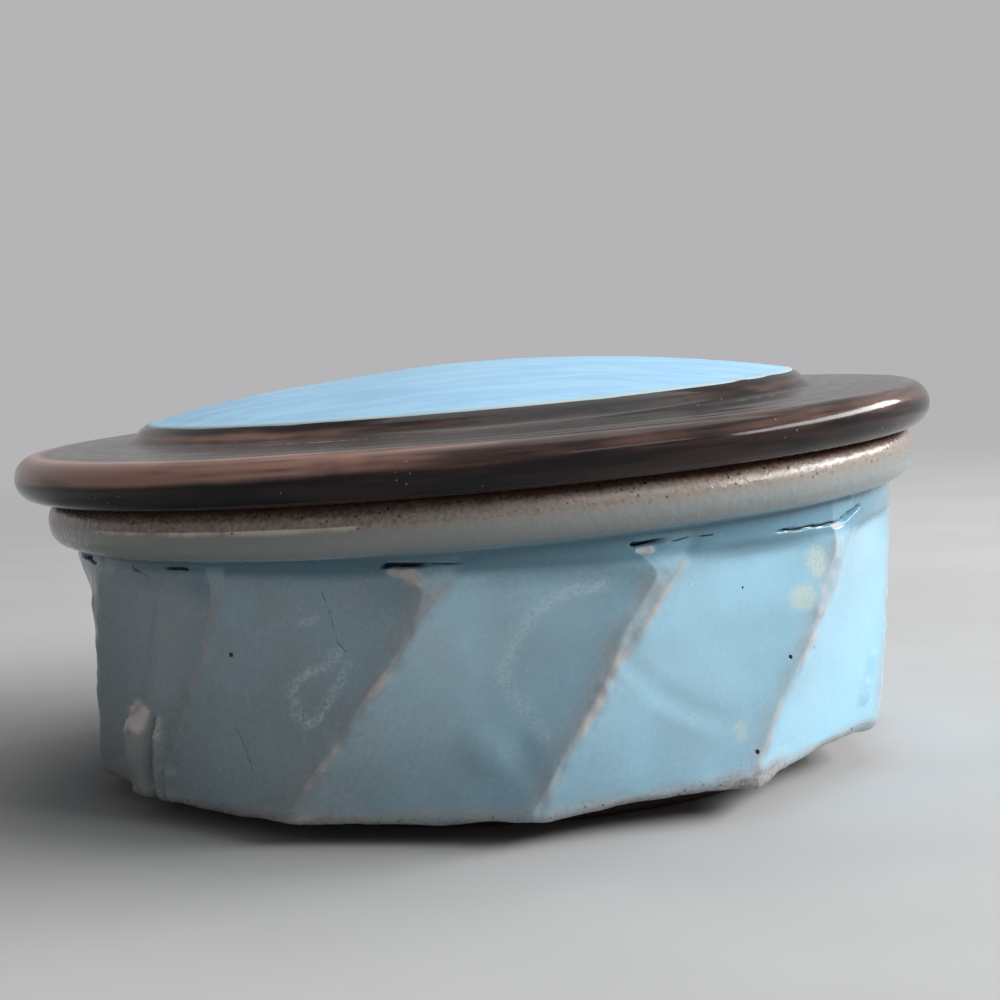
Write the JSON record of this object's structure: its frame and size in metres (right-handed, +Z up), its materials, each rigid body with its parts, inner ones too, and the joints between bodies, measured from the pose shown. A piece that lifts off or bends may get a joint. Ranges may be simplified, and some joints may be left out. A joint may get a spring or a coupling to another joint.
{
  "type": "faceted lidded jar",
  "caption": "Low round stoneware jar with leaning hollow facets, a rolled collar and a loose domed lid that lifts off a flat seat.",
  "frame": {"origin": "middle of the foot ring, on the surface that the jar stands on", "axes": "+Z up, -Y the front that the picture shows, +X to the right of that front"},
  "size_m": [0.1998, 0.2, 0.0875],
  "materials": {
    "celadon_glaze": "pale blue-green celadon glaze over stoneware, breaking to beige on the ridges, satin gloss",
    "iron_glaze": "dark iron-brown gloss glaze with a pale blue celadon panel on the dome"
  },
  "bodies": {
    "jar": {"jar_body": "celadon_glaze"},
    "lid": {"lid": "iron_glaze"}
  },
  "joints": [
    {"name": "lid_lift", "type": "slide", "parent": "jar", "child": "lid", "axis": [-0.0436, 0, 0.999], "range_m": [0, 0.06]}
  ]
}
